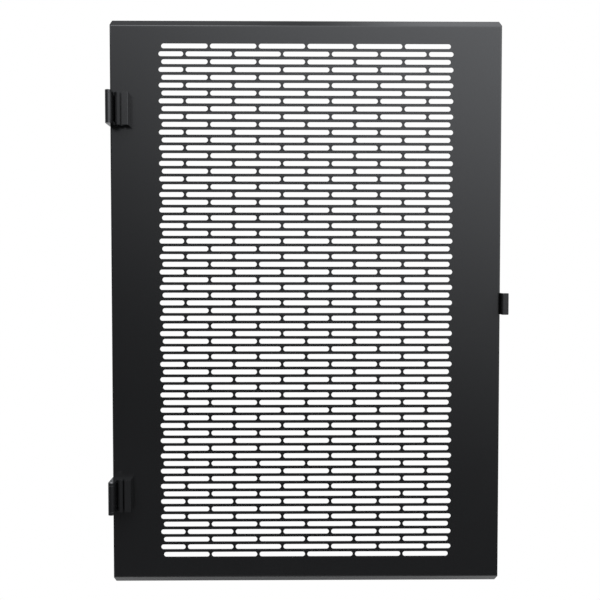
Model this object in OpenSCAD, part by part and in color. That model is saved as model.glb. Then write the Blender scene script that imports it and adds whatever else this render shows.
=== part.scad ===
// Perforated front door for an 18U floor cabinet, with its two hinges and its finger pull.
// Built in the door's own coordinates: X across, Y inwards from the front face, Z up, zero at the
// middle of the perforated field. place() then moves it to the lower hinge's mounting holes.

/* [Panel] */
// Width of the door
panel_w = 605; // [603:1:700]
// Height of the door's face between its sloped ends
panel_h = 856.8; // [700:0.1:960]
// Thickness of the door sheet
sheet_t = 1.5; // [1:0.1:2]
// Solid sheet between the slots and the lower bend
bottom_margin = 31.4; // [28:0.1:60]
// Depth of the folded sides
panel_depth = 23; // [23:0.5:32]
// How far the sloped top and bottom walls rise past the face
end_rise = 14.1; // [8:0.1:18]
// Width of the lips that turn in behind the sides
lip_w = 15; // [14:0.5:18]
// Outside radius of the bends
bend_r = 2.4; // [2.2:0.1:4]

/* [Perforation] */
// Least width of solid sheet at each side of the slots
side_band = 74; // [66:0.5:90]
// Least height of solid sheet above the slots
top_band = 20; // [16:0.5:40]
// Length of a slot
slot_l = 71.6; // [60:0.1:72]
// Height of a slot
slot_h = 7.8; // [5:0.1:9]
// Width of sheet between two slots of a row
slot_web = 3.4; // [2.5:0.1:6]
// Height of sheet between two rows
row_web = 4.2; // [3:0.1:6]
// Length of the short slots that end every second row
short_slot_l = 38.3; // [20:0.1:39]

/* [Stiffeners] */
// Width of each hat channel over its feet
stiff_w = 34; // [30:1:36]
// Depth of each hat channel
stiff_depth = 13; // [8:0.5:16]
// Sheet thickness of the hat channels
stiff_t = 1.2; // [1:0.1:1.5]
// Width of each foot
stiff_foot = 8; // [6:0.5:9]
// Inward lean of each web
stiff_lean = 2; // [0:0.5:3]
// Distance from the perforated field to the near foot
stiff_gap = 5; // [3:0.5:6]
// Distance from the bends to each end of the channels
stiff_end_gap = 12; // [8:1:40]

/* [Hinges] */
// Distance between the two hinges
hinge_spacing = 594.5; // [480:0.5:620]
// Height of the point midway between the hinges
hinge_mid_z = -0.6; // [-10:0.1:10]
// Height of a hinge
hinge_h = 49.7; // [44:0.1:60]
// Diameter of the hinge pin
pin_d = 5; // [4:0.1:5.4]
// Outside diameter of the knuckles
knuckle_d = 9.6; // [8.6:0.1:11]
// Distance of the pin in front of the door's face
pin_reach = 35.5; // [30:0.5:40]
// How far the hinges stand past the door's side
hinge_overhang = 0.2; // [0.2:0.1:1.4]
// Height of each door knuckle
ear_h = 4.6; // [3.5:0.1:7]
// Thickness of the washers between the knuckles
washer_t = 0.5; // [0.3:0.1:1]
// Width of the door leaf's block
block_w = 21.3; // [20:0.1:24]
// How far the block stands off the door's face
block_d = 21; // [16:0.5:24]
// Radius of the block's corner beside the knuckles
block_r = 5; // [3:0.5:6]
// Distance from the door's side to the far side of the block
block_far = 31.3; // [29:0.1:34]
// Width of the groove in the block
groove_w = 3; // [2:0.1:4]
// Depth of the groove in the block
groove_d = 7; // [3:0.5:13]
// Distance from the far side of the block to the groove
groove_inset = 9.4; // [9:0.1:11]
// Thickness of the door leaf's base
base_t = 3; // [2:0.1:4]
// Thickness of the frame leaf
leaf_t = 2; // [1.5:0.1:2]
// Length of the frame leaf behind the door's face
leaf_back = 60; // [56:1:90]
// Distance from the frame leaf's end to its mounting holes
leaf_hole_inset = 12; // [8:0.5:16]
// Distance between the two mounting holes
leaf_hole_spacing = 25; // [16:0.5:26]
// Diameter of the mounting holes
leaf_hole_d = 5.5; // [4.5:0.1:7]

/* [Leaf fixings] */
// Diameter of the screws that hold the door leaves
screw_d = 5; // [4:0.1:5]
// Length of those screws under the head
screw_l = 14; // [10:0.5:15]
// Distance between the two screws of a leaf
screw_spacing = 28; // [20:0.5:30]
// Distance from the far side of the block to the screws
screw_inset = 4.8; // [4.5:0.1:5]
// Thickness of the backing plates
backing_t = 2; // [1.5:0.1:3]
// Width of the backing plates
backing_w = 20; // [16:0.5:20]
// Height of the backing plates
backing_h = 44; // [38:1:50]

/* [Finger pull] */
// Height of the finger pull
pull_h = 33.4; // [26:0.1:60]
// Height of the pull's middle above the middle of the field
pull_z = -1.5; // [-40:0.5:10]
// Thickness of the pull's sheet
pull_t = 1.5; // [1:0.1:2]
// How far the pull stands in front of the door's face
pull_reach = 15; // [10:0.5:25]
// Width of the pull's lip
pull_lip = 9.8; // [8:0.1:16]
// How far the pull runs back along the door's side
pull_back = 18; // [16:0.5:20]
// Radius of the pull's corners
pull_r = 1.2; // [0.5:0.1:3]
// Diameter of the pull's screws
pull_screw_d = 4; // [3:0.1:4]
// Distance between the pull's screws
pull_screw_spacing = 16; // [12:0.5:18]

/* [Magnetic catch] */
// Height of the catch above the middle of the field
catch_z = 60; // [50:1:300]
// Length of the catch's housing
catch_l = 46; // [46:1:60]
// Depth of the catch's housing
catch_d = 12; // [10:0.5:16]
// Width of the catch's housing
catch_w = 12.4; // [12:0.1:13]
// Width of the magnet between its pole plates
magnet_w = 5.5; // [4:0.1:6]
// Length of the magnet
magnet_l = 30; // [20:1:30]
// Thickness of each pole plate
pole_t = 1.2; // [0.8:0.1:1.5]
// How far the pole plates stand behind the lip
pole_proud = 1; // [0.5:0.1:2]
// Distance between the catch's screws
catch_screw_spacing = 38; // [37:0.5:39]

/* [Bumpers and earth stud] */
// Diameter of the rubber bumpers
bumper_d = 11; // [8:0.5:13]
// Thickness of the rubber bumpers
bumper_t = 3; // [2:0.1:5]
// Distance from the bends to the bumpers
bumper_inset = 20; // [16:1:60]
// Length of the earth stud
stud_l = 15; // [13:0.5:18]
// Distance from the door's side to the earth stud
stud_inset = 24; // [22:0.5:26]
// Distance from the lower bend to the earth stud
stud_up = 22; // [20:1:60]

/* [Hidden] */
$fn = 48;

// Clearances: a pin that turns, a pin that is driven in, a screw in its hole, and a part in its pocket
run_gap = 0.05;
drive_gap = 0.02;
screw_gap = 0.25;
thread_gap = 0.05;
pocket_gap = 0.1;
// Room round the frame leaf where it passes through the door
leaf_gap = 0.8;
leaf_end_gap = 1.2;
// Room between the hinge arms and the block, and behind the frame leaf's arm
arm_gap = 0.6;
arm_back_gap = 1;

// Hex nuts and screw heads
earth_thread_d = 6;
earth_nut_af = 10;
earth_nut_h = 5;
earth_washer_d = 12;
earth_washer_t = 1.6;
head_ratio = 1.8;
head_h_ratio = 0.6;
clinch_h_ratio = 0.75;
catch_screw_d = 3.5;
catch_screw_l = 9;
bend_steps = 6;
cut = 1;

half_w = panel_w / 2;
slot_pitch_x = slot_l + slot_web;
slot_pitch_z = slot_h + row_web;
// As many slots in a full row as fit between the side bands
slot_cols = floor((panel_w - 2 * side_band + slot_web) / slot_pitch_x);
field_w = slot_cols * slot_pitch_x - slot_web;
// As many rows as fit between the end bands, always an odd number
field_room = panel_h - bottom_margin - top_band - slot_h;
slot_rows = 2 * floor(field_room / slot_pitch_z / 2) + 1;
field_half_h = (slot_rows - 1) / 2 * slot_pitch_z + slot_h / 2;
short_slot_x = slot_cols / 2 * slot_pitch_x - slot_l / 2 + short_slot_l / 2;
field_edge = max(field_w / 2, short_slot_x + short_slot_l / 2);
face_bottom = -field_half_h - bottom_margin;
face_top = face_bottom + panel_h;

knuckle_r = knuckle_d / 2;
pin_x = -half_w - hinge_overhang + knuckle_r;
leaf_face_x = -half_w - hinge_overhang;
frame_knuckle_h = hinge_h - 2 * ear_h - 2 * washer_t;
block_far_x = -half_w + block_far;
block_near_x = block_far_x - block_w;
arm_x = block_near_x - arm_gap;
screw_x = block_far_x - screw_inset;
screw_hole_d = screw_d + 2 * screw_gap;
hinge_z = [hinge_mid_z + hinge_spacing / 2, hinge_mid_z - hinge_spacing / 2];
leaf_hole_y = leaf_back - leaf_hole_inset;

pull_screw_y = panel_depth / 2;
pole_stack_w = magnet_w + 2 * pole_t;
catch_x = half_w - sheet_t - catch_w / 2 - 0.3;
lip_back = panel_depth - sheet_t;
bumper_x = half_w - lip_w / 2;
stiff_near = field_edge + stiff_gap;

// ---------- shared shapes ----------

// Moves the door's own coordinates to the middle of the lower hinge's mounting holes
module place() {
    translate([-leaf_face_x, -leaf_hole_y, -hinge_z[1]]) children();
}

// Stands a plan outline, drawn in X and Y, from one height to another
module upright(z0, z1) {
    translate([0, 0, z0]) linear_extrude(height = z1 - z0) children();
}

// Runs a side outline, drawn as Y and Z, from one X to another
module across(x0, x1) {
    translate([x0, 0, 0]) rotate([90, 0, 90]) linear_extrude(height = x1 - x0) children();
}

// Lays a front outline, drawn as X and Z, from one depth to another
module inward(y0, y1) {
    translate([0, y1, 0]) rotate([90, 0, 0]) linear_extrude(height = y1 - y0) children();
}

// Points along an arc
function arc(c, r, a0, a1) = [
    for (i = [0:bend_steps])
        let (a = a0 + (a1 - a0) * i / bend_steps)
            c + r * [cos(a), sin(a)]
];

module along_y(x, y0, y1, z, r, sides = 48) {
    translate([x, y0, z]) rotate([-90, 0, 0]) cylinder(r = r, h = y1 - y0, $fn = sides);
}

module along_x(x0, x1, y, z, r, sides = 48) {
    translate([x0, y, z]) rotate([0, 90, 0]) cylinder(r = r, h = x1 - x0, $fn = sides);
}

// ---------- door panel ----------

// Plan of the folded sides, `inset` inside the outer skin
module tray_plan(inset) {
    w = half_w - inset;
    r = bend_r - inset;
    polygon(concat(
        arc([-w + r, inset + r], r, 180, 270),
        arc([w - r, inset + r], r, 270, 360),
        [[w, panel_depth + cut], [-w, panel_depth + cut]]
    ));
}

// Side view of the folded ends, `inset` inside the outer skin; the ends slope outwards as they go back
module tray_side(inset) {
    slope = atan2(panel_depth, end_rise);
    r = bend_r - inset;
    shift = bend_r * tan(slope / 2);
    run = end_rise / panel_depth;
    back = panel_depth + cut;
    top = [bend_r, face_top - shift];
    bottom = [bend_r, face_bottom + shift];
    polygon(concat(
        arc(bottom, r, 180 + slope, 180),
        arc(top, r, 180, 180 - slope),
        [
            [back, top[1] + r / sin(slope) + (back - bend_r) * run],
            [back, bottom[1] - r / sin(slope) - (back - bend_r) * run]
        ]
    ));
}

module tray_body(inset, back) {
    intersection() {
        across(-half_w, half_w) tray_side(inset);
        upright(face_bottom - end_rise, face_top + end_rise) tray_plan(inset);
        translate([-half_w, 0, face_bottom - end_rise])
            cube([panel_w, back, face_top - face_bottom + 2 * end_rise]);
    }
}

module slot(x, z, l) {
    translate([x, z]) {
        square([l - slot_h, slot_h], center = true);
        for (s = [-1, 1]) translate([s * (l - slot_h) / 2, 0]) circle(d = slot_h);
    }
}

module slot_row(i) {
    z = (slot_rows - 1) / 2 * slot_pitch_z - i * slot_pitch_z;
    n = slot_cols - i % 2;
    for (c = [0:n - 1]) slot((c - (n - 1) / 2) * slot_pitch_x, z, slot_l);
    if (i % 2 == 1)
        for (s = [-1, 1]) slot(s * short_slot_x, z, short_slot_l);
}

// Holes for the leaf screws, at one hinge
module leaf_screw_holes(z, y0, y1, d) {
    for (s = [-1, 1]) along_y(screw_x, y0, y1, z + s * screw_spacing / 2, d / 2);
}

// Gap in the door's side that the frame leaf passes through, at one hinge
module leaf_passage(z, y0, y1) {
    h = frame_knuckle_h + 2 * leaf_end_gap;
    translate([leaf_face_x - cut, y0, z - h / 2])
        cube([cut + leaf_t + leaf_gap, y1 - y0, h]);
}

module door_panel() {
    opening_w = panel_w - 2 * lip_w;
    window_h = magnet_l + 1;
    color("#1b1c1e") place() difference() {
        tray_body(0, panel_depth);
        tray_body(sheet_t, lip_back);
        translate([-opening_w / 2, lip_back - cut, face_bottom - end_rise + lip_w])
            cube([opening_w, sheet_t + 2 * cut, face_top - face_bottom + 2 * (end_rise - lip_w)]);
        inward(-cut, sheet_t + cut)
            for (i = [0:slot_rows - 1]) slot_row(i);
        for (z = hinge_z) {
            leaf_passage(z, -cut, panel_depth + cut);
            leaf_screw_holes(z, -cut, sheet_t + cut, screw_hole_d);
        }
        for (s = [-1, 1])
            along_x(half_w - sheet_t - cut, half_w + cut, pull_screw_y,
                pull_z + s * pull_screw_spacing / 2, pull_screw_d / 2 + screw_gap);
        translate([catch_x - pole_stack_w / 2 - 0.5, lip_back - cut, catch_z - window_h / 2])
            cube([pole_stack_w + 1, sheet_t + 2 * cut, window_h]);
        for (s = [-1, 1])
            along_y(catch_x, lip_back - cut, panel_depth + cut,
                catch_z + s * catch_screw_spacing / 2, catch_screw_d / 2 + screw_gap);
    }
}

// ---------- stiffeners ----------

// Plan of a hat channel, with its feet on the inside of the door's face
module hat_plan() {
    y0 = sheet_t;
    y1 = sheet_t + stiff_depth;
    a = stiff_w / 2;
    b = a - stiff_foot;
    c = b - stiff_lean;
    polygon([
        [-a, y0], [-b + stiff_t, y0], [-c + stiff_t, y1 - stiff_t], [c - stiff_t, y1 - stiff_t],
        [b - stiff_t, y0], [a, y0], [a, y0 + stiff_t], [b, y0 + stiff_t], [c, y1],
        [-c, y1], [-b, y0 + stiff_t], [-a, y0 + stiff_t]
    ]);
}

module stiffener(side) {
    color("#242527") place()
        translate([side * (stiff_near + stiff_w / 2), 0, 0])
            upright(face_bottom + stiff_end_gap, face_top - stiff_end_gap) hat_plan();
}

module left_stiffener() stiffener(-1);
module right_stiffener() stiffener(1);

// ---------- hinges ----------

// Plan of one ear of the door leaf: its arm runs straight back from the pin to the block's base
module ear_plan() {
    translate([pin_x, -pin_reach]) circle(r = knuckle_r);
    polygon([
        [leaf_face_x, -pin_reach], [arm_x, -pin_reach], [arm_x, -block_d + block_r],
        [block_near_x + block_r, -block_d + block_r], [block_near_x + block_r, 0],
        [-half_w, 0], [-half_w, -base_t], [leaf_face_x, -base_t]
    ]);
}

// Plan of the block, with its rounded corner and its groove
module block_plan() {
    groove_x = block_far_x - groove_inset - groove_w;
    edge_r = 0.8;
    difference() {
        polygon(concat(
            [[block_near_x, 0]],
            arc([block_near_x + block_r, -block_d + block_r], block_r, 180, 270),
            arc([block_far_x - edge_r, -block_d + edge_r], edge_r, 270, 360),
            [[block_far_x, 0]]
        ));
        translate([groove_x, -block_d - cut]) square([groove_w, groove_d + cut]);
    }
}

module door_leaf(z) {
    h = hinge_h / 2;
    color("#161719") place() difference() {
        union() {
            upright(z - h, z + h) block_plan();
            translate([-half_w, -base_t, z - h]) cube([block_far, base_t, hinge_h]);
            upright(z - h, z - h + ear_h) ear_plan();
            upright(z + h - ear_h, z + h) ear_plan();
        }
        translate([pin_x, -pin_reach, z - h - cut])
            cylinder(d = pin_d + 2 * drive_gap, h = hinge_h + 2 * cut);
        leaf_passage(z, -base_t - cut, cut);
        leaf_screw_holes(z, -screw_l, cut, screw_d + 2 * thread_gap);
    }
}

// Plan of the frame leaf: a plate whose front end thickens into an arm and the knuckle
module frame_leaf_plan() {
    difference() {
        union() {
            translate([pin_x, -pin_reach]) circle(r = knuckle_r);
            translate([leaf_face_x, -pin_reach])
                square([arm_x - leaf_face_x, pin_reach - base_t - arm_back_gap]);
            translate([leaf_face_x, -pin_reach]) square([leaf_t, pin_reach + leaf_back]);
        }
        translate([pin_x, -pin_reach]) circle(d = pin_d + 2 * run_gap);
    }
}

module frame_leaf(z) {
    h = frame_knuckle_h / 2;
    color("#1d1e20") place() difference() {
        upright(z - h, z + h) frame_leaf_plan();
        for (s = [-1, 1])
            along_x(leaf_face_x - cut, leaf_face_x + leaf_t + cut, leaf_hole_y,
                z + s * leaf_hole_spacing / 2, leaf_hole_d / 2);
    }
}

// Turned pin with a small chamfer at each end
module hinge_pin(z) {
    r = pin_d / 2;
    c = 0.5;
    h = hinge_h / 2;
    color("#8d9196") place() translate([pin_x, -pin_reach, z])
        rotate_extrude()
            polygon([[0, -h], [r - c, -h], [r, -h + c], [r, h - c], [r - c, h], [0, h]]);
}

module hinge_washers(z) {
    h = frame_knuckle_h / 2;
    color("#2a2b2d") place()
        for (z0 = [z - h - washer_t, z + h])
            translate([pin_x, -pin_reach, z0])
                difference() {
                    cylinder(r = knuckle_r - 0.3, h = washer_t);
                    translate([0, 0, -cut])
                        cylinder(r = pin_d / 2 + pocket_gap, h = washer_t + 2 * cut);
                }
}

module backing_plate(z) {
    x0 = block_far_x - backing_w;
    color("#9a9da1") place() difference() {
        translate([x0, sheet_t, z - backing_h / 2]) cube([backing_w, backing_t, backing_h]);
        leaf_screw_holes(z, sheet_t - cut, sheet_t + backing_t + cut, screw_hole_d);
    }
}

// Pan-head screw with a hexagon socket: its head's underside is at zero and its shank runs to -Z
module socket_screw(d, l) {
    head_h = d * head_h_ratio;
    socket = d * 0.3;
    difference() {
        union() {
            translate([0, 0, -l]) cylinder(d = d, h = l);
            cylinder(d = d * head_ratio, h = head_h);
        }
        translate([0, 0, head_h * 0.4]) cylinder(r = socket, h = head_h, $fn = 6);
    }
}

module leaf_screws(z) {
    seat = sheet_t + backing_t;
    color("#b9bcc0") place()
        for (s = [-1, 1])
            translate([screw_x, seat, z + s * screw_spacing / 2])
                rotate([-90, 0, 0]) socket_screw(screw_d, screw_l);
}

module upper_door_leaf() door_leaf(hinge_z[0]);
module lower_door_leaf() door_leaf(hinge_z[1]);
module upper_frame_leaf() frame_leaf(hinge_z[0]);
module lower_frame_leaf() frame_leaf(hinge_z[1]);
module upper_hinge_pin() hinge_pin(hinge_z[0]);
module lower_hinge_pin() hinge_pin(hinge_z[1]);
module upper_hinge_washers() hinge_washers(hinge_z[0]);
module lower_hinge_washers() hinge_washers(hinge_z[1]);
module upper_backing_plate() backing_plate(hinge_z[0]);
module lower_backing_plate() backing_plate(hinge_z[1]);
module upper_leaf_screws() leaf_screws(hinge_z[0]);
module lower_leaf_screws() leaf_screws(hinge_z[1]);

// ---------- finger pull ----------

module finger_pull() {
    z0 = pull_z - pull_h / 2;
    inner_r = 0.2;
    outer_r = inner_r + pull_t;
    turn = [half_w + outer_r, -pull_reach + outer_r];
    color("#17181a") place() difference() {
        intersection() {
            upright(z0, z0 + pull_h)
                polygon(concat(
                    [[half_w + pull_t, pull_back], [half_w, pull_back]],
                    arc(turn, outer_r, 180, 270),
                    [[half_w + pull_lip, -pull_reach], [half_w + pull_lip, -pull_reach + pull_t]],
                    arc(turn, inner_r, 270, 180)
                ));
            union() {
                pull_front();
                pull_side();
            }
        }
        for (s = [-1, 1])
            along_x(half_w - cut, half_w + pull_t + cut, pull_screw_y,
                pull_z + s * pull_screw_spacing / 2, pull_screw_d / 2 + screw_gap);
    }
}

// Front outline of the pull's lip, with rounded outer corners
module pull_front() {
    x1 = half_w + pull_lip;
    h = pull_h / 2;
    inward(-pull_reach - cut, -pull_reach + pull_t + 0.4)
        translate([0, pull_z])
            polygon(concat(
                [[half_w - cut, h]],
                [[half_w - cut, -h]],
                arc([x1 - pull_r, -h + pull_r], pull_r, 270, 360),
                arc([x1 - pull_r, h - pull_r], pull_r, 0, 90)
            ));
}

// Side outline of the pull's leg, with rounded rear corners
module pull_side() {
    h = pull_h / 2;
    r = 3 * pull_r;
    across(half_w - cut, half_w + pull_t + 0.8)
        translate([0, pull_z])
            polygon(concat(
                [[-pull_reach + pull_t, h], [-pull_reach + pull_t, -h]],
                arc([pull_back - r, -h + r], r, 270, 360),
                arc([pull_back - r, h - r], r, 0, 90)
            ));
}

module pull_screws() {
    color("#b9bcc0") place()
        for (s = [-1, 1])
            translate([half_w + pull_t, pull_screw_y, pull_z + s * pull_screw_spacing / 2])
                rotate([0, 90, 0]) socket_screw(pull_screw_d, pull_t + sheet_t + pull_nut_h());
}

function pull_nut_h() = pull_screw_d * clinch_h_ratio;

// Round clinch nuts pressed against the inside of the door's side
module pull_clinch_nuts() {
    x1 = half_w - sheet_t;
    color("#b9bcc0") place()
        for (s = [-1, 1])
            let (z = pull_z + s * pull_screw_spacing / 2)
                difference() {
                    along_x(x1 - pull_nut_h(), x1, pull_screw_y, z, pull_screw_d);
                    along_x(x1 - pull_nut_h() - cut, x1 + cut, pull_screw_y, z,
                        pull_screw_d / 2 + thread_gap);
                }
}

// ---------- magnetic catch ----------

magnet_d = catch_d - 2;

module catch_housing() {
    pocket_w = pole_stack_w + 2 * pocket_gap;
    pocket_l = magnet_l + 2 * pocket_gap;
    color("#2b2c2e") place() difference() {
        translate([catch_x - catch_w / 2, lip_back - catch_d, catch_z - catch_l / 2])
            cube([catch_w, catch_d, catch_l]);
        translate([catch_x - pocket_w / 2, lip_back - magnet_d, catch_z - pocket_l / 2])
            cube([pocket_w, magnet_d + cut, pocket_l]);
        for (s = [-1, 1])
            along_y(catch_x, lip_back - catch_screw_l + sheet_t, lip_back + cut,
                catch_z + s * catch_screw_spacing / 2, catch_screw_d / 2 + thread_gap);
    }
}

module catch_magnet() {
    color("#3a3a3c") place()
        translate([catch_x - magnet_w / 2, lip_back - magnet_d, catch_z - magnet_l / 2])
            cube([magnet_w, magnet_d, magnet_l]);
}

module catch_pole_plates() {
    color("#a8abae") place()
        for (x = [catch_x - magnet_w / 2 - pole_t, catch_x + magnet_w / 2])
            translate([x, lip_back - magnet_d, catch_z - magnet_l / 2])
                cube([pole_t, magnet_d + sheet_t + pole_proud, magnet_l]);
}

module catch_screws() {
    color("#b9bcc0") place()
        for (s = [-1, 1])
            translate([catch_x, panel_depth, catch_z + s * catch_screw_spacing / 2])
                rotate([-90, 0, 0]) socket_screw(catch_screw_d, catch_screw_l);
}

// ---------- bumpers and earth stud ----------

// Rubber buttons stuck on the lips, one near each corner
module bumpers() {
    r = bumper_d / 2;
    c = bumper_t / 3;
    color("#0f0f10") place()
        for (x = [-bumper_x, bumper_x])
            for (z = [face_bottom + bumper_inset, face_top - bumper_inset])
                translate([x, panel_depth, z])
                    rotate([-90, 0, 0])
                        rotate_extrude()
                            polygon([[0, 0], [r, 0], [r, bumper_t - c], [r - c, bumper_t], [0, bumper_t]]);
}

stud_x = -half_w + stud_inset;
stud_z = face_bottom + stud_up;

module earth_stud() {
    color("#c2a36b") place()
        along_y(stud_x, sheet_t, sheet_t + stud_l, stud_z, earth_thread_d / 2);
}

module earth_washer() {
    color("#b9bcc0") place() difference() {
        along_y(stud_x, sheet_t, sheet_t + earth_washer_t, stud_z, earth_washer_d / 2);
        along_y(stud_x, sheet_t - cut, sheet_t + earth_washer_t + cut, stud_z,
            earth_thread_d / 2 + screw_gap);
    }
}

module earth_nut() {
    y0 = sheet_t + earth_washer_t;
    r = earth_nut_af / 2 / cos(30);
    color("#b9bcc0") place() difference() {
        along_y(stud_x, y0, y0 + earth_nut_h, stud_z, r, 6);
        along_y(stud_x, y0 - cut, y0 + earth_nut_h + cut, stud_z, earth_thread_d / 2 + thread_gap);
    }
}

door_panel();
left_stiffener();
right_stiffener();
upper_door_leaf();
lower_door_leaf();
upper_frame_leaf();
lower_frame_leaf();
upper_hinge_pin();
lower_hinge_pin();
upper_hinge_washers();
lower_hinge_washers();
upper_backing_plate();
lower_backing_plate();
upper_leaf_screws();
lower_leaf_screws();
finger_pull();
pull_screws();
pull_clinch_nuts();
catch_housing();
catch_magnet();
catch_pole_plates();
catch_screws();
bumpers();
earth_stud();
earth_washer();
earth_nut();
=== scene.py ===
import math

import bmesh
import bpy
from bpy.props import FloatProperty, FloatVectorProperty, IntProperty, PointerProperty
from mathutils import Matrix, Vector


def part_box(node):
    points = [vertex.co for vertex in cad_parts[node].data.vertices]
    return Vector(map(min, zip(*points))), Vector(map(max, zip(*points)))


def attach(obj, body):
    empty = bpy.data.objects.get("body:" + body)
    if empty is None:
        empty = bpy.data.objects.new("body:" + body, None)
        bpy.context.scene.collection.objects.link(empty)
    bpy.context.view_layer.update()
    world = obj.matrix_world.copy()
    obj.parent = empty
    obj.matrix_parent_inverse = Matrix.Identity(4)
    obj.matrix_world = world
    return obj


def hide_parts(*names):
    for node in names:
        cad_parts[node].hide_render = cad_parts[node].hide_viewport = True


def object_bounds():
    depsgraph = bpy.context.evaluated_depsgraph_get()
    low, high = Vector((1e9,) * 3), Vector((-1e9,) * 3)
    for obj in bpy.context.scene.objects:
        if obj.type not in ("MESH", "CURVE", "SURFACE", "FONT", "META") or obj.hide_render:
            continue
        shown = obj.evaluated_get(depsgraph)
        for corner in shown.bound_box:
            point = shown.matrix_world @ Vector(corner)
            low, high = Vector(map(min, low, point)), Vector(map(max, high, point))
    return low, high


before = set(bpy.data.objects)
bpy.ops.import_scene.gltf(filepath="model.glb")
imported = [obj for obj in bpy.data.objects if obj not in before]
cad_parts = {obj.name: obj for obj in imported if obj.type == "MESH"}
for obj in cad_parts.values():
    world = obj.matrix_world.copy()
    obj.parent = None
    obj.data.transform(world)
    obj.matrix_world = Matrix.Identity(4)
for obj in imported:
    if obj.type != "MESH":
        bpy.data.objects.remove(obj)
CAD_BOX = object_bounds()

bl_info = {
    "name": "Perforated rack door",
    "version": (1, 0, 0),
    "blender": (4, 5, 0),
    "location": "View3D > Sidebar > Rack door",
    "description": "Dresses a perforated cabinet door with its hinges, pull and fittings",
    "category": "Object",
}

MM = 0.001
DOOR = "door"
FRAME_SIDE = "frame_side"
PANEL_LOW, PANEL_HIGH = (Vector(corner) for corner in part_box("door_panel"))
PANEL_MID = (PANEL_LOW + PANEL_HIGH) / 2
FACE_Y = PANEL_LOW.y

# Mesh work: vertices closer than MERGE are one, or than TIGHT where a solid is turned or cut.
# What is off by less than NEAR is in its place. Faces within FLAT of each other are one, and
# edges that turn by more than SMOOTH are shaded as sharp.
MERGE = 0.002 * MM
TIGHT = 0.001 * MM
NEAR = 0.01 * MM
FLAT = math.radians(0.4)
SMOOTH = math.radians(32)

# The studio. Directions point away from the door: X to the right, Y to the back, Z up.
# A ramp runs along one of them: where it starts and ends, and its value at each, kept beyond.
SKY_LEFT = (-0.08, 0.02, 0.06, 0.0)
SKY_RIGHT = (0.0, 0.16, 0.0, 0.76)
SKY_UP = (0.3, 0.9, 0.0, 1.0)
VEIL_ACROSS = (-0.1, 0.15)
VEIL_FOOT = (0.35, 0.5, 0.0, 1.0)
VEIL_TOP = (0.8, 0.95, 1.0, 0.0)
DIM_OVERHEAD = (0.8, 0.97, 1.0, 0.5)
BACKDROP_DEPTH = (0.94, 0.995, 0.0, 1.0)
# Glowing regions: the middle of each, its reach as a distance between directions, and its level
GLOWS = (
    ((0.39, -0.556, 0.761), 1.135, "key_level"),
    ((-0.55, -0.75, 0.33), 0.45, "fill_level"),
    ((-0.15, -0.7, 0.7), 0.45, "upper_level"),
    ((-1.0, 0.1, 0.1), 0.7, "side_level"),
    ((1.0, -0.05, 0.4), 0.6, "right_level"),
    ((0.1, 1.0, 0.1), 0.8, "back_level"),
)
# How white the floor is to a kind of ray: how much distances across the door count, where the
# white starts and is whole, and the least share of it
FLOOR_WHITE = {
    "Is Camera Ray": (1.0, 0.2, 0.7, 0.62),
    "Is Glossy Ray": (0.5, 0.3, 0.72, 0.0),
}

# How much a face of a casting faces an end or the right, for painted shade: where its reflection
# starts to be cut, and where it is wholly cut, so that the ends and right walls look shaded
PAINTED_SHADE_WALLS = (0.55, 0.9)

# A spot weld's mark: shares of its radius, with heights over the foot
WELD_PROFILE = ((0, -0.1 * MM), (1, -0.1 * MM), (0.93, 0.16 * MM), (0.72, 0.12 * MM),
                (0.5, 0.04 * MM), (0, 0.03 * MM))
# The earth stud's thread, in shares of its pitch
THREAD_DEPTH = 0.6
THREAD_FLANKS = (0.45, 0.55)


# ---------- settings ----------

class RackDoorFinish(bpy.types.PropertyGroup):
    coat_colour: FloatVectorProperty(
        name="Coat colour", description="Colour of the powder coat",
        subtype="COLOR", size=3, min=0, max=1, default=(0.008, 0.008, 0.0082))
    coat_roughness: FloatProperty(
        name="Coat roughness", description="Roughness of the powder coat",
        min=0, max=1, default=0.17)
    cast_colour: FloatVectorProperty(
        name="Casting colour", description="Colour of the coated hinge castings",
        subtype="COLOR", size=3, min=0, max=1, default=(0.012, 0.012, 0.0123))
    cast_roughness: FloatProperty(
        name="Casting roughness", description="Roughness of the coat on the hinge castings",
        min=0, max=1, default=0.11)
    coat_specular: FloatProperty(
        name="Coat specular", description="How strongly the coats reflect",
        min=0, max=1, default=0.6)
    # Painted shade: the castings' ends and right walls reflect only this strongly, so they look
    # shaded
    shaded_wall_specular: FloatProperty(
        name="Shaded wall specular", description="How strongly the castings' ends and right walls reflect",
        min=0, max=1, default=0.1)
    zinc_colour: FloatVectorProperty(
        name="Zinc colour", description="Colour of the zinc plating",
        subtype="COLOR", size=3, min=0, max=1, default=(0.56, 0.57, 0.59))
    edge_round: FloatProperty(
        name="Edge rounding", description="Width of the rounding on sheet and slot edges",
        unit="LENGTH", min=0, max=0.001, default=0.00025)


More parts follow.
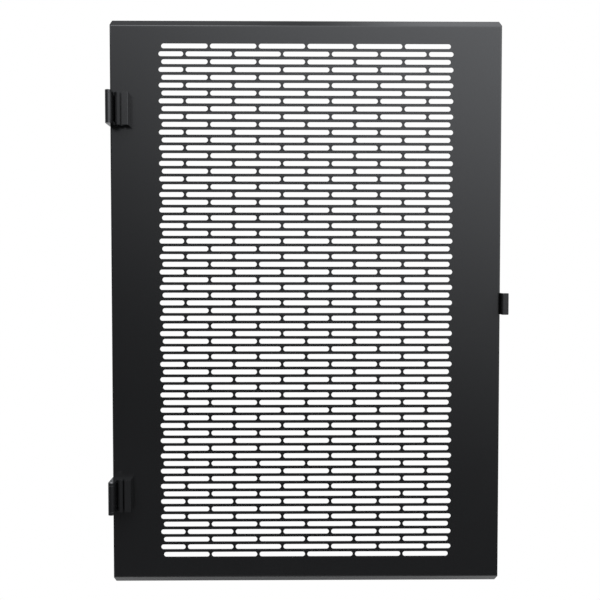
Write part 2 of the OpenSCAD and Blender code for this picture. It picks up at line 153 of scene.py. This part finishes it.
class RackDoorPanelShape(bpy.types.PropertyGroup):
    sheet: FloatProperty(
        name="Sheet", description="Thickness of the door sheet",
        unit="LENGTH", min=0.0005, max=0.003, default=0.0015)
    bend: FloatProperty(
        name="Bend radius", description="Outside radius of the folds",
        unit="LENGTH", min=0.0015, max=0.005, default=0.0024)
    end_rise: FloatProperty(
        name="End slope", description="How far the top and bottom walls rise past the face",
        unit="LENGTH", min=0, max=0.03, default=0.0141)
    fold_lift: FloatProperty(
        name="Fold lift", description="How far the upper fold is raised towards the end's edge",
        unit="LENGTH", min=0, max=0.002, default=0.0011)
    field_rise: FloatProperty(
        name="Field rise", description="Height of the slot field's middle over the door's middle",
        unit="LENGTH", default=0.0028)
    slot_columns: IntProperty(
        name="Columns", description="Slots in a full row", min=1, max=12, default=6)
    slot_rows: IntProperty(
        name="Rows", description="Rows of slots", min=1, max=120, default=67)
    slot_pitch: FloatVectorProperty(
        name="Slot pitch", description="Distances between slots, across and up",
        unit="LENGTH", size=2, default=(0.07503, 0.011986))
    slot_size: FloatVectorProperty(
        name="Slot size", description="Length and height of a slot in its coat",
        unit="LENGTH", size=2, default=(0.0713, 0.0075))
    short_slot: FloatProperty(
        name="Short slot", description="Length of the short slots that end every second row",
        unit="LENGTH", default=0.038)


class RackDoorDetail(bpy.types.PropertyGroup):
    weld_pitch: FloatProperty(
        name="Weld pitch", description="Distance between the spot welds of a stiffener",
        unit="LENGTH", min=0.03, max=0.3, default=0.09)
    weld_size: FloatProperty(
        name="Weld size", description="Diameter of a spot weld's mark",
        unit="LENGTH", min=0.003, max=0.007, default=0.0056)
    foot_width: FloatProperty(
        name="Foot width", description="Width of a stiffener's feet",
        unit="LENGTH", default=0.008)
    foot_sheet: FloatProperty(
        name="Foot thickness", description="Thickness of a stiffener's feet",
        unit="LENGTH", default=0.0012)
    groove_place: FloatVectorProperty(
        name="Groove place", description="Distances of the groove's middle from the side of a "
        "hinge's casting, and of its floor from the front",
        unit="LENGTH", size=2, default=(0.0109, 0.007))
    groove_width: FloatProperty(
        name="Groove width", description="Width of the groove in a hinge's casting",
        unit="LENGTH", default=0.003)
    groove_sink: FloatProperty(
        name="Groove sink", description="How much deeper the groove's floor is set",
        unit="LENGTH", min=0, max=0.006, default=0.003)
    thread_pitch: FloatProperty(
        name="Thread pitch", description="Distance between the threads of the earth stud",
        unit="LENGTH", min=0.0005, max=0.002, default=0.001)


class RackDoorStage(bpy.types.PropertyGroup):
    lens: FloatProperty(
        name="Lens", description="Focal length on a 36 mm sensor", min=10, max=200, default=54)
    eye: FloatVectorProperty(
        name="Eye", description="The camera's place from the middle of the slot field",
        subtype="TRANSLATION", size=3, default=(-0.0254, -1.3996, 0.0586))
    aim: FloatVectorProperty(
        name="Aim", description="The point looked at, from the middle of the slot field",
        subtype="TRANSLATION", size=3, default=(-0.0097, 0, 0.0044))
    floor_drop: FloatProperty(
        name="Floor drop", description="Distance from the door's lowest edge to the floor",
        unit="LENGTH", default=0.35)
    floor_radius: FloatProperty(
        name="Floor radius", description="Radius of the floor's disc", unit="LENGTH", default=0.75)
    floor_shade: FloatProperty(
        name="Floor shade", description="Grey of the floor where it isn't white",
        min=0, max=1, default=0.18)
    lamp_power: FloatProperty(
        name="Overhead lamp", description="Power of the lamp above the door",
        unit="POWER", default=2.4)
    lamp_place: FloatVectorProperty(
        name="Lamp place", description="The lamp's place from the middle of the slot field",
        subtype="TRANSLATION", size=3, default=(-0.4, -0.1, 1.7))
    lamp_size: FloatVectorProperty(
        name="Lamp size", description="Width and depth of the lamp",
        unit="LENGTH", size=2, default=(0.8, 0.7))
    key_level: FloatProperty(
        name="Key level", description="Brightness of the large glow at the upper right",
        min=0, max=20, default=5.45)
    fill_level: FloatProperty(
        name="Fill level", description="Brightness of the small glow at the upper left",
        min=0, max=5, default=0.25)
    upper_level: FloatProperty(
        name="Upper level", description="Brightness of the small glow above the camera",
        min=0, max=5, default=1.5)
    side_level: FloatProperty(
        name="Side level", description="Brightness of the glow at the left side",
        min=0, max=5, default=0.5)
    right_level: FloatProperty(
        name="Right level", description="Brightness of the glow at the right side",
        min=0, max=5, default=0.8)
    back_level: FloatProperty(
        name="Back level", description="Brightness of the glow behind the door",
        min=0, max=5, default=0.7)
    veil: FloatProperty(
        name="Veil", description="How much the glows are veiled at the upper right",
        min=0, max=1, default=0.65)
    room_colour: FloatVectorProperty(
        name="Room colour", description="Colour of the studio's light",
        subtype="COLOR", size=3, min=0, max=2, default=(0.965, 0.99, 1.035))
    room_level: FloatProperty(
        name="Room level", description="Brightness of the room outside its glows",
        min=0, max=1, default=0.11)


# ---------- nodes ----------

class Graph:
    """A node tree, with short ways to add and join nodes."""

    def __init__(self, tree):
        self.tree = tree

    @classmethod
    def of(cls, owner):
        """The emptied tree of a material or a world."""
        owner.use_nodes = True
        owner.node_tree.nodes.clear()
        return cls(owner.node_tree)

    def add(self, kind, **settings):
        node = self.tree.nodes.new("ShaderNode" + kind)
        for name, value in settings.items():
            setattr(node, name, value)
        return node

    def feed(self, socket, value):
        """Links an output to the socket, or gives the socket a plain value."""
        if isinstance(value, bpy.types.NodeSocket):
            self.tree.links.new(value, socket)
        else:
            socket.default_value = value

    def math(self, operation, *values):
        node = self.add("Math", operation=operation)
        for socket, value in zip(node.inputs, values):
            self.feed(socket, value)
        return node.outputs[0]

    def vector(self, operation, *values, output="Vector"):
        node = self.add("VectorMath", operation=operation)
        for socket, value in zip(node.inputs, values):
            self.feed(socket, value)
        return node.outputs[output]

    def ramp(self, value, start, end, low, high, shape="SMOOTHSTEP"):
        """Low at the start value, high at the end value, and held beyond them."""
        node = self.add("MapRange", interpolation_type=shape)
        for label, given in (("Value", value), ("From Min", start), ("From Max", end),
                             ("To Min", low), ("To Max", high)):
            self.feed(node.inputs[label], given)
        return node.outputs["Result"]

    def noise(self, coord, scale, detail, roughness):
        node = self.add("TexNoise")
        for label, given in (("Vector", coord), ("Scale", scale), ("Detail", detail),
                             ("Roughness", roughness)):
            self.feed(node.inputs[label], given)
        return node.outputs["Fac"]

    def mix_shaders(self, share, first, second):
        node = self.add("MixShader")
        for socket, value in zip(node.inputs, (share, first, second)):
            self.feed(socket, value)
        return node.outputs[0]


def grain_group():
    """Fine coating grain: a height for bump, a soft mask of slow variation, and a fine mask."""
    name = "coating_grain"
    if name in bpy.data.node_groups:
        return bpy.data.node_groups[name]
    group = bpy.data.node_groups.new(name, "ShaderNodeTree")
    for label, size in (("Grain Scale", 900.0), ("Cloud Scale", 9.0)):
        socket = group.interface.new_socket(label, in_out="INPUT", socket_type="NodeSocketFloat")
        socket.default_value = size
    for label in ("Height", "Cloud", "Fine"):
        group.interface.new_socket(label, in_out="OUTPUT", socket_type="NodeSocketFloat")
    entry = group.nodes.new("NodeGroupInput")
    leave = group.nodes.new("NodeGroupOutput")
    graph = Graph(group)
    coord = graph.add("TexCoord").outputs["Object"]
    grain, cloud = entry.outputs["Grain Scale"], entry.outputs["Cloud Scale"]
    finer = graph.math("MULTIPLY", grain, 2.6)
    graph.feed(leave.inputs["Height"], graph.noise(coord, grain, detail=3.0, roughness=0.55))
    graph.feed(leave.inputs["Cloud"], graph.noise(coord, cloud, detail=3.0, roughness=0.5))
    graph.feed(leave.inputs["Fine"], graph.noise(coord, finer, detail=2.0, roughness=0.5))
    return group


def finish(name, colour, roughness, grain, bump, metallic=0.0, specular=0.5,
           colour_drift=0.12, shaded_wall_specular=None):
    """A coated or plated surface: colour and roughness drift slowly, and the grain is bump.
    With a wall specular level, the ends and the walls that face right reflect only that strongly:
    painted shade that darkens them."""
    material = bpy.data.materials.get(name)
    if material:
        return material
    roughness_drift = 0.06
    grain_height = 0.2 * MM
    colour_a, colour_b, mixed = 6, 7, 2  # the sockets of a mix node that hold colours
    material = bpy.data.materials.new(name)
    graph = Graph.of(material)
    shader = graph.add("BsdfPrincipled")
    graph.feed(graph.add("OutputMaterial").inputs["Surface"], shader.outputs["BSDF"])
    texture = graph.add("Group", node_tree=grain_group())
    graph.feed(texture.inputs["Grain Scale"], grain)
    mix = graph.add("Mix", data_type="RGBA")
    graph.feed(mix.inputs[0], texture.outputs["Cloud"])
    graph.feed(mix.inputs[colour_a], (*(c * (1 - colour_drift) for c in colour), 1))
    graph.feed(mix.inputs[colour_b], (*(min(1.0, c * (1 + colour_drift)) for c in colour), 1))
    height = graph.add("Bump")
    graph.feed(height.inputs["Strength"], bump)
    graph.feed(height.inputs["Distance"], grain_height)
    graph.feed(height.inputs["Height"], texture.outputs["Height"])
    # Painted shade: the reflection is cut on the ends and on the walls that face right
    if shaded_wall_specular is not None:
        facing = graph.add("SeparateXYZ")
        graph.feed(facing.inputs["Vector"], graph.add("TexCoord").outputs["Normal"])
        end = graph.math("ABSOLUTE", facing.outputs["Z"])
        wall = graph.math("MAXIMUM", facing.outputs["X"], end)
        specular = graph.ramp(wall, *PAINTED_SHADE_WALLS, specular, shaded_wall_specular, "LINEAR")
    for label, value in (
            ("Base Color", mix.outputs[mixed]),
            ("Metallic", metallic),
            ("Specular IOR Level", specular),
            ("Roughness", graph.ramp(texture.outputs["Fine"], 0.0, 1.0,
                                     roughness - roughness_drift, roughness + roughness_drift,
                                     "LINEAR")),
            ("Normal", height.outputs["Normal"])):
        graph.feed(shader.inputs[label], value)
    return material


def powder_coat():
    coat = bpy.context.scene.rack_door_finish
    return finish("fine_powder_coat", coat.coat_colour, coat.coat_roughness, grain=1100, bump=0.08,
                  specular=coat.coat_specular)


# The castings' coat, with painted shade on its ends and right walls
def casting_coat():
    coat = bpy.context.scene.rack_door_finish
    return finish("coated_casting", coat.cast_colour, coat.cast_roughness, grain=1500, bump=0.05,
                  specular=coat.coat_specular, shaded_wall_specular=coat.shaded_wall_specular)


def zinc():
    return finish("zinc_plating", bpy.context.scene.rack_door_finish.zinc_colour, roughness=0.32,
                  grain=700, bump=0.04, metallic=1.0, colour_drift=0.08)


def pin_steel():
    return finish("turned_steel", (0.5, 0.5, 0.51), roughness=0.28, grain=2500, bump=0.05,
                  metallic=1.0)


def nylon():
    return finish("black_nylon", (0.03, 0.03, 0.031), roughness=0.45, grain=1800, bump=0.05)


def moulded_plastic():
    return finish("moulded_plastic", (0.02, 0.02, 0.021), roughness=0.55, grain=2200, bump=0.15)


def ferrite():
    return finish("sintered_ferrite", (0.045, 0.044, 0.045), roughness=0.5, grain=1500, bump=0.2,
                  metallic=0.4)


def rubber():
    return finish("soft_rubber", (0.012, 0.012, 0.012), roughness=0.75, grain=1200, bump=0.12)


def brass():
    return finish("turned_brass", (0.62, 0.44, 0.17), roughness=0.3, grain=1500, bump=0.05,
                  metallic=1.0)


# ---------- mesh helpers ----------

def to_mesh(bm, name):
    """Turns a bmesh into a mesh and frees it."""
    if not bm.faces:
        raise RuntimeError(name + " has no faces")
    mesh = bpy.data.meshes.new(name)
    bm.to_mesh(mesh)
    bm.free()
    return mesh


def new_piece(name, bm, material, body, slot, *nodes):
    """Makes a piece from a bmesh and puts it on its body, in place of the CAD nodes named."""
    mesh = to_mesh(bm, name)
    mesh.shade_smooth()
    mesh.set_sharp_from_angle(angle=SMOOTH)
    piece = bpy.data.objects.new(name, mesh)
    bpy.context.scene.collection.objects.link(piece)
    mesh.materials.append(material)
    even = piece.modifiers.new("even_shading", "WEIGHTED_NORMAL")
    even.mode = "FACE_AREA"
    even.weight = 100
    even.keep_sharp = True
    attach(piece, body)
    if nodes:
        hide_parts(*nodes)
    return piece


def merged_copy(node):
    """The node's mesh with its loose triangles joined and its flat faces made whole."""
    bm = bmesh.new()
    bm.from_mesh(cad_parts[node].data)
    bmesh.ops.remove_doubles(bm, verts=bm.verts, dist=MERGE)
    bmesh.ops.dissolve_limit(bm, angle_limit=FLAT, verts=bm.verts, edges=bm.edges)
    return bm


def round_edges(bm, width, segments=2, angle=40):
    """Rounds every edge that turns by more than the angle, which is in degrees."""
    limit = math.radians(angle)
    edges = [e for e in bm.edges if e.is_manifold and e.calc_face_angle(0) > limit]
    bmesh.ops.bevel(bm, geom=edges, offset=width, segments=segments, affect="EDGES",
                    profile=0.5, material=-1, clamp_overlap=True)


def rounded_node(node, material, body, slot, width, segments=2, angle=40):
    """The CAD node's own form with its hard edges rounded."""
    bm = merged_copy(node)
    round_edges(bm, width, segments, angle)
    return new_piece(node + "_finished", bm, material, body, slot, node)


def turned(profile, axis, steps):
    """A closed solid, turned from (radius, height) points about an axis through the origin."""
    bm = bmesh.new()
    along = Vector(axis)
    across = along.orthogonal().normalized()
    points = [bm.verts.new(across * radius + along * height) for radius, height in profile]
    lines = [bm.edges.new(pair) for pair in zip(points, points[1:])]
    bmesh.ops.spin(bm, geom=points + lines, cent=(0, 0, 0), axis=along, dvec=(0, 0, 0),
                   angle=math.tau, steps=steps, use_merge=True, use_duplicate=False)
    bmesh.ops.remove_doubles(bm, verts=bm.verts, dist=TIGHT)
    bmesh.ops.recalc_face_normals(bm, faces=bm.faces)
    return bm


def paint(node, material):
    """Gives a CAD node its material and leaves its mesh as it is."""
    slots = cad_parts[node].data.materials
    slots.clear()
    slots.append(material)


def looking(eye, aim):
    """The placement of a camera or lamp at the eye that faces the aim."""
    turn = (aim - eye).to_track_quat("-Z", "Y")
    return Matrix.Translation(eye) @ turn.to_matrix().to_4x4()


# ---------- operators ----------

class RACKDOOR_OT_stage(bpy.types.Operator):
    """Sets up the camera, the floor, the world and the lamps"""
    bl_idname = "rack_door.stage"
    bl_label = "Stage"

    def execute(self, context):
        stage = context.scene.rack_door_stage
        context.scene.view_settings.view_transform = "Standard"
        field = PANEL_MID + Vector((0, 0, context.scene.rack_door_panel.field_rise))
        field.y = FACE_Y
        self.camera(context, stage, field)
        self.world(context, stage)
        self.floor(context, stage)
        self.lamps(context, stage, field)
        return {"FINISHED"}

    def camera(self, context, stage, field):
        data = bpy.data.cameras.new("camera")
        data.lens = stage.lens
        data.sensor_width = 36
        camera = bpy.data.objects.new("camera", data)
        camera.matrix_world = looking(field + Vector(stage.eye), field + Vector(stage.aim))
        context.scene.collection.objects.link(camera)
        context.scene.camera = camera

    def world(self, context, stage):
        """A white backdrop behind the door and a soft studio, made of glowing regions, round it."""
        world = bpy.data.worlds.new("studio")
        context.scene.world = world
        graph = Graph.of(world)
        direction = graph.add("TexCoord").outputs["Generated"]
        axes = graph.add("SeparateXYZ")
        graph.feed(axes.inputs["Vector"], direction)
        x, y, z = axes.outputs

        glow = stage.room_level
        for centre, reach, level in GLOWS:
            away = graph.vector("DISTANCE", direction, Vector(centre).normalized(), output="Value")
            glow = graph.math("ADD", glow, graph.ramp(away, 0.0, reach, getattr(stage, level), 0.0))
        veil = graph.math("MULTIPLY", graph.ramp(x, *VEIL_ACROSS, 0.0, stage.veil),
                          graph.ramp(z, *VEIL_FOOT))
        veil = graph.math("MULTIPLY", veil, graph.ramp(z, *VEIL_TOP))
        glow = graph.math("MULTIPLY", glow, graph.math("SUBTRACT", 1.0, veil))
        glow = graph.math("MULTIPLY", glow, graph.ramp(z, *DIM_OVERHEAD))
        sky = graph.math("ADD", graph.ramp(x, *SKY_LEFT), graph.ramp(x, *SKY_RIGHT))
        sky = graph.math("MULTIPLY", graph.ramp(z, *SKY_UP), sky)
        room = graph.add("Background")
        graph.feed(room.inputs["Color"], (*stage.room_colour, 1))
        graph.feed(room.inputs["Strength"], graph.math("ADD", glow, sky))

        backdrop = graph.add("Background")
        graph.feed(backdrop.inputs["Color"], (1, 1, 1, 1))
        graph.feed(backdrop.inputs["Strength"], 1.0)
        rays = graph.add("LightPath").outputs
        glossy = graph.math("MULTIPLY", rays["Is Glossy Ray"], graph.ramp(y, *BACKDROP_DEPTH))
        white = graph.math("MAXIMUM", rays["Is Camera Ray"],
                           graph.math("MAXIMUM", rays["Is Transmission Ray"], glossy))
        graph.feed(graph.add("OutputWorld").inputs["Surface"],
                   graph.mix_shaders(white, room.outputs[0], backdrop.outputs[0]))

    def floor(self, context, stage):
        """A pale floor that is white away from the door and keeps the shadow near it."""
        bm = bmesh.new()
        bmesh.ops.create_circle(bm, cap_ends=True, segments=96, radius=stage.floor_radius)
        centre = Vector((PANEL_MID.x, PANEL_MID.y, CAD_BOX[0][2] - stage.floor_drop))
        bmesh.ops.translate(bm, verts=bm.verts, vec=centre)
        floor = bpy.data.objects.new("floor", to_mesh(bm, "floor"))
        context.scene.collection.objects.link(floor)
        material = bpy.data.materials.new("pale_floor")
        graph = Graph.of(material)
        plain = graph.add("BsdfPrincipled")
        graph.feed(plain.inputs["Base Color"], (*[stage.floor_shade] * 3, 1))
        graph.feed(plain.inputs["Roughness"], 0.8)
        graph.feed(plain.inputs["Specular IOR Level"], 0.1)
        white = graph.add("Emission")
        graph.feed(white.inputs["Strength"], 1.0)
        apart = graph.vector("SUBTRACT", graph.add("TexCoord").outputs["Object"], centre)
        rays = graph.add("LightPath").outputs
        shares = []
        for ray, (across, start, end, least) in FLOOR_WHITE.items():
            squeezed = graph.vector("MULTIPLY", apart, (across, 1, 1))
            away = graph.vector("LENGTH", squeezed, output="Value")
            share = graph.ramp(away, start, end, least, 1.0)
            shares.append(graph.math("MULTIPLY", rays[ray], share))
        graph.feed(graph.add("OutputMaterial").inputs["Surface"],
                   graph.mix_shaders(graph.math("MAXIMUM", *shares),
                                     plain.outputs["BSDF"], white.outputs[0]))
        floor.data.materials.append(material)

    def lamps(self, context, stage, field):
        data = bpy.data.lights.new("overhead", "AREA")
        data.shape = "RECTANGLE"
        data.size, data.size_y = stage.lamp_size
        data.energy = stage.lamp_power
        lamp = bpy.data.objects.new("overhead", data)
        lamp.matrix_world = looking(field + Vector(stage.lamp_place), field)
        context.scene.collection.objects.link(lamp)


class RACKDOOR_OT_panel(bpy.types.Operator):
    """Folds the perforated sheet: one face with its slots, four sides and their lips"""
    bl_idname = "rack_door.panel"
    bl_label = "Door panel"

    def execute(self, context):
        shape = context.scene.rack_door_panel
        edge = context.scene.rack_door_finish.edge_round
        bm = self.slotted_face(shape, edge)
        folds = to_mesh(self.folded_sides(shape, edge), "folds")
        bm.from_mesh(folds)
        bpy.data.meshes.remove(folds)
        seam = [v for v in bm.verts if v.is_boundary]
        bmesh.ops.remove_doubles(bm, verts=seam, dist=NEAR)
        new_piece("perforated_panel", bm, powder_coat(), DOOR, "panel_coat", "door_panel")
        return {"FINISHED"}

    def window(self, shape):
        """The flat middle of the face, inside the folds: its lowest and highest X and Z."""
        margin = shape.bend + 1.5 * MM
        return (PANEL_LOW.x + margin, PANEL_HIGH.x - margin,
                PANEL_LOW.z + shape.end_rise + margin, PANEL_HIGH.z - shape.end_rise - margin)

    def slot_sleeve(self, shape, edge, length):
        """The rim of one slot: a circle whose halves are moved apart, at four depths."""
        bm = bmesh.new()
        segments = 18
        half_step = math.pi / segments
        height = shape.slot_size[1]
        facing = Matrix.Rotation(math.pi / 2, 4, "X") @ Matrix.Rotation(half_step, 4, "Z")
        loops = []
        for grow, depth in ((edge, 0), (0, edge), (0, shape.sheet - edge), (edge, shape.sheet)):
            ring = bmesh.ops.create_circle(
                bm, segments=segments, radius=(height / 2 + grow) / math.cos(half_step),
                matrix=Matrix.Translation((0, FACE_Y + depth, 0)) @ facing)["verts"]
            for vert in ring:
                vert.co.x += math.copysign((length - height) / 2, vert.co.x)
            loops.append({e for vert in ring for e in vert.link_edges})
        for front, back in zip(loops, loops[1:]):
            bmesh.ops.bridge_loops(bm, edges=list(front | back))
        return to_mesh(bm, "sleeve")

    def slot_places(self, shape):
        """The middle of every slot, and whether it is a short one."""
        pitch_x, pitch_z = shape.slot_pitch
        middle_z = PANEL_MID.z + shape.field_rise
        short_x = (shape.slot_columns * pitch_x - shape.slot_size[0] + shape.short_slot) / 2
        for row in range(shape.slot_rows):
            z = middle_z + ((shape.slot_rows - 1) / 2 - row) * pitch_z
            count = shape.slot_columns - row % 2
            for column in range(count):
                yield PANEL_MID.x + (column - (count - 1) / 2) * pitch_x, z, False
            if row % 2:
                yield PANEL_MID.x - short_x, z, True
                yield PANEL_MID.x + short_x, z, True

    def slotted_face(self, shape, edge):
        """The flat face between the folds, on both sides of the sheet, with every slot's rim."""
        bm = bmesh.new()
        long_slot = self.slot_sleeve(shape, edge, shape.slot_size[0])
        short_slot = self.slot_sleeve(shape, edge, shape.short_slot)
        for x, z, is_short in self.slot_places(shape):
            sleeve = short_slot if is_short else long_slot
            sleeve.transform(Matrix.Translation((x, 0, z)))
            bm.from_mesh(sleeve)
            sleeve.transform(Matrix.Translation((-x, 0, -z)))
        rims = [e for e in bm.edges if e.is_boundary]
        left, right, low, high = self.window(shape)
        for depth, facing in ((0, -1), (shape.sheet, 1)):
            y = FACE_Y + depth
            outline = [bm.verts.new((x, y, z))
                       for x, z in ((left, low), (right, low), (right, high), (left, high))]
            edges = [e for e in rims if abs(e.verts[0].co.y - y) < NEAR]
            edges += [bm.edges.new((a, b)) for a, b in zip(outline, outline[1:] + outline[:1])]
            filled = bmesh.ops.triangle_fill(bm, edges=edges, use_beauty=True,
                                             normal=(0, facing, 0))
            if not filled["geom"]:
                raise RuntimeError("the face round the slots was not filled")
        for sleeve in (long_slot, short_slot):
            bpy.data.meshes.remove(sleeve)
        return bm

    def folded_sides(self, shape, edge):
        """The folds, sides and lips of the door, with the middle of its face cut away."""
        bm = bmesh.new()
        bm.from_mesh(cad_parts["door_panel"].data)
        bmesh.ops.remove_doubles(bm, verts=bm.verts, dist=MERGE)
        left, right, low, high = self.window(shape)
        behind_sheet = FACE_Y + shape.sheet + 0.5 * MM

        def cut_away():
            inside = [f for f in bm.faces if all(
                left - NEAR < v.co.x < right + NEAR and low - NEAR < v.co.z < high + NEAR
                and v.co.y < behind_sheet for v in f.verts)]
            bmesh.ops.delete(bm, geom=inside, context="FACES")

        cut_away()
        for spot, normal in (((left, 0, 0), (1, 0, 0)), ((right, 0, 0), (1, 0, 0)),
                             ((0, 0, low), (0, 0, 1)), ((0, 0, high), (0, 0, 1))):
            near = [f for f in bm.faces if f.calc_center_median().y < behind_sheet]
            rims = {e for f in near for e in f.edges}
            corners = {v for f in near for v in f.verts}
            bmesh.ops.bisect_plane(bm, geom=[*corners, *rims, *near], dist=TIGHT,
                                   plane_co=spot, plane_no=normal)
        cut_away()
        bmesh.ops.dissolve_limit(bm, angle_limit=FLAT, verts=bm.verts, edges=bm.edges)
        self.lift_fold(bm, shape, high)
        round_edges(bm, edge)
        return bm

    def lift_fold(self, bm, shape, high):
        """Raises the fold at the top of the face, inside and outside, towards the end's edge."""
        fold_back = FACE_Y + 2 * shape.sheet + 0.2 * MM
        fold = [v for v in bm.verts if v.co.z > high + 0.1 * MM and v.co.y < fold_back]
        if not fold:
            raise RuntimeError("no upper fold found")
        bmesh.ops.translate(bm, verts=fold, vec=(0, 0, shape.fold_lift))


class RACKDOOR_OT_stiffeners(bpy.types.Operator):
    """Finishes the two hat channels inside the door"""
    bl_idname = "rack_door.stiffeners"
    bl_label = "Stiffeners"

    def execute(self, context):
        for node in ("left_stiffener", "right_stiffener"):
            rounded_node(node, powder_coat(), DOOR, "panel_coat", 0.5 * MM)
            self.weld_marks(node, context.scene.rack_door_detail)
        return {"FINISHED"}

    def weld_marks(self, node, detail):
        """The dished marks of the spot welds along both feet."""
        low, high = (Vector(corner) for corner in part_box(node))
        radius = detail.weld_size / 2
        profile = [(share * radius, height) for share, height in WELD_PROFILE]
        mesh = to_mesh(turned(profile, axis=(0, 1, 0), steps=16), "mark")
        bm = bmesh.new()
        count = round((high.z - low.z) / detail.weld_pitch)
        step = (high.z - low.z) / count
        y = low.y + detail.foot_sheet
        for x in (low.x + detail.foot_width / 2, high.x - detail.foot_width / 2):
            for index in range(count):
                place = Matrix.Translation((x, y, low.z + (index + 0.5) * step))
                mesh.transform(place)
                bm.from_mesh(mesh)
                mesh.transform(place.inverted())
        bpy.data.meshes.remove(mesh)
        new_piece(node + "_welds", bm, powder_coat(), DOOR, "panel_coat")


class RACKDOOR_OT_hinges(bpy.types.Operator):
    """Finishes both hinges: leaves, pins, washers, backing plates and screws"""
    bl_idname = "rack_door.hinges"
    bl_label = "Hinges"

    def execute(self, context):
        for end in ("upper", "lower"):
            self.door_leaf(end + "_door_leaf", context.scene.rack_door_detail)
            rounded_node(end + "_frame_leaf", powder_coat(), FRAME_SIDE, "leaf_coat", 0.25 * MM)
            rounded_node(end + "_backing_plate", zinc(), DOOR, "zinc_plate", 0.2 * MM)
            paint(end + "_hinge_pin", pin_steel())
            paint(end + "_hinge_washers", nylon())
            rounded_node(end + "_leaf_screws", zinc(), DOOR, "zinc_screw", 0.3 * MM)
        return {"FINISHED"}

    def door_leaf(self, node, detail):
        """The cast leaf, with the floor of its groove sunk deeper."""
        bm = merged_copy(node)
        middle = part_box(node)[1][0] - detail.groove_place[0]
        reach = 0.6 * detail.groove_width
        groove = [v for v in bm.verts if abs(v.co.x - middle) < reach]
        front = min(v.co.y for v in groove)
        floor = [v for v in groove if abs(v.co.y - front - detail.groove_place[1]) < 0.5 * MM]
        if not floor:
            raise RuntimeError("no groove found in " + node)
        bmesh.ops.translate(bm, verts=floor, vec=(0, detail.groove_sink, 0))
        round_edges(bm, 0.15 * MM)
        new_piece(node + "_finished", bm, casting_coat(), DOOR, "casting_coat", node)


class RACKDOOR_OT_pull(bpy.types.Operator):
    """Finishes the finger pull with its screws and clinch nuts"""
    bl_idname = "rack_door.pull"
    bl_label = "Finger pull"

    def execute(self, context):
        rounded_node("finger_pull", powder_coat(), DOOR, "panel_coat", 0.2 * MM, angle=50)
        for node in ("pull_screws", "pull_clinch_nuts"):
            rounded_node(node, zinc(), DOOR, "zinc_screw", 0.2 * MM)
        return {"FINISHED"}


class RACKDOOR_OT_catch(bpy.types.Operator):
    """Finishes the magnetic catch"""
    bl_idname = "rack_door.catch"
    bl_label = "Magnetic catch"

    def execute(self, context):
        rounded_node("catch_housing", moulded_plastic(), DOOR, "black_plastic", 0.5 * MM,
                     segments=3)
        rounded_node("catch_magnet", ferrite(), DOOR, "magnet_ferrite", 0.2 * MM)
        rounded_node("catch_pole_plates", zinc(), DOOR, "zinc_plate", 0.15 * MM)
        rounded_node("catch_screws", zinc(), DOOR, "zinc_screw", 0.2 * MM)
        return {"FINISHED"}


class RACKDOOR_OT_bumpers(bpy.types.Operator):
    """Finishes the rubber bumpers"""
    bl_idname = "rack_door.bumpers"
    bl_label = "Bumpers"

    def execute(self, context):
        rounded_node("bumpers", rubber(), DOOR, "bumper_rubber", 0.5 * MM, segments=3, angle=30)
        return {"FINISHED"}


class RACKDOOR_OT_earth(bpy.types.Operator):
    """Finishes the earth stud with its washer and nut"""
    bl_idname = "rack_door.earth"
    bl_label = "Earth stud"

    def execute(self, context):
        self.threaded_stud(context.scene.rack_door_detail.thread_pitch)
        rounded_node("earth_washer", zinc(), DOOR, "zinc_screw", 0.15 * MM)
        rounded_node("earth_nut", zinc(), DOOR, "zinc_screw", 0.3 * MM)
        return {"FINISHED"}

    def threaded_stud(self, pitch):
        """The stud with its thread, cut as close rings, and a chamfered end."""
        low, high = (Vector(corner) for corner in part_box("earth_stud"))
        radius = (high.x - low.x) / 2
        root = radius - THREAD_DEPTH * pitch
        length = high.y - low.y
        profile = [(0, 0), (radius, 0)]
        turns = int((length - pitch) / pitch)
        for turn in range(turns):
            start = length - pitch * (turns - turn)
            profile.append((radius, start))
            profile += [(root, start + share * pitch) for share in THREAD_FLANKS]
        profile += [(root, length), (0, length)]
        bm = turned(profile, axis=(0, 1, 0), steps=28)
        middle = (low + high) / 2
        bmesh.ops.translate(bm, verts=bm.verts, vec=(middle.x, low.y, middle.z))
        new_piece("earth_stud_threaded", bm, brass(), DOOR, "stud_brass", "earth_stud")


class RACKDOOR_PT_sidebar(bpy.types.Panel):
    """Lists the door's settings and its parts"""
    bl_idname = "RACKDOOR_PT_sidebar"
    bl_label = "Rack door"
    bl_space_type = "VIEW_3D"
    bl_region_type = "UI"
    bl_category = "Rack door"

    def draw(self, context):
        layout = self.layout
        for group in ("rack_door_finish", "rack_door_panel", "rack_door_detail",
                      "rack_door_stage"):
            box = layout.box()
            data = getattr(context.scene, group)
            for name in data.__annotations__:
                box.prop(data, name)
        for operator in OPERATORS:
            layout.operator(operator.bl_idname)


OPERATORS = (
    RACKDOOR_OT_stage,
    RACKDOOR_OT_panel,
    RACKDOOR_OT_stiffeners,
    RACKDOOR_OT_hinges,
    RACKDOOR_OT_pull,
    RACKDOOR_OT_catch,
    RACKDOOR_OT_bumpers,
    RACKDOOR_OT_earth,
)
CLASSES = (RackDoorFinish, RackDoorPanelShape, RackDoorDetail, RackDoorStage, *OPERATORS,
           RACKDOOR_PT_sidebar)


def register():
    for cls in CLASSES:
        bpy.utils.register_class(cls)
    bpy.types.Scene.rack_door_finish = PointerProperty(type=RackDoorFinish)
    bpy.types.Scene.rack_door_panel = PointerProperty(type=RackDoorPanelShape)
    bpy.types.Scene.rack_door_detail = PointerProperty(type=RackDoorDetail)
    bpy.types.Scene.rack_door_stage = PointerProperty(type=RackDoorStage)


def unregister():
    del bpy.types.Scene.rack_door_stage
    del bpy.types.Scene.rack_door_detail
    del bpy.types.Scene.rack_door_panel
    del bpy.types.Scene.rack_door_finish
    for cls in reversed(CLASSES):
        bpy.utils.unregister_class(cls)


def main():
    register()
    for operator in OPERATORS:
        family, name = operator.bl_idname.split(".")
        getattr(getattr(bpy.ops, family), name)()


if __name__ == "__main__":
    main()
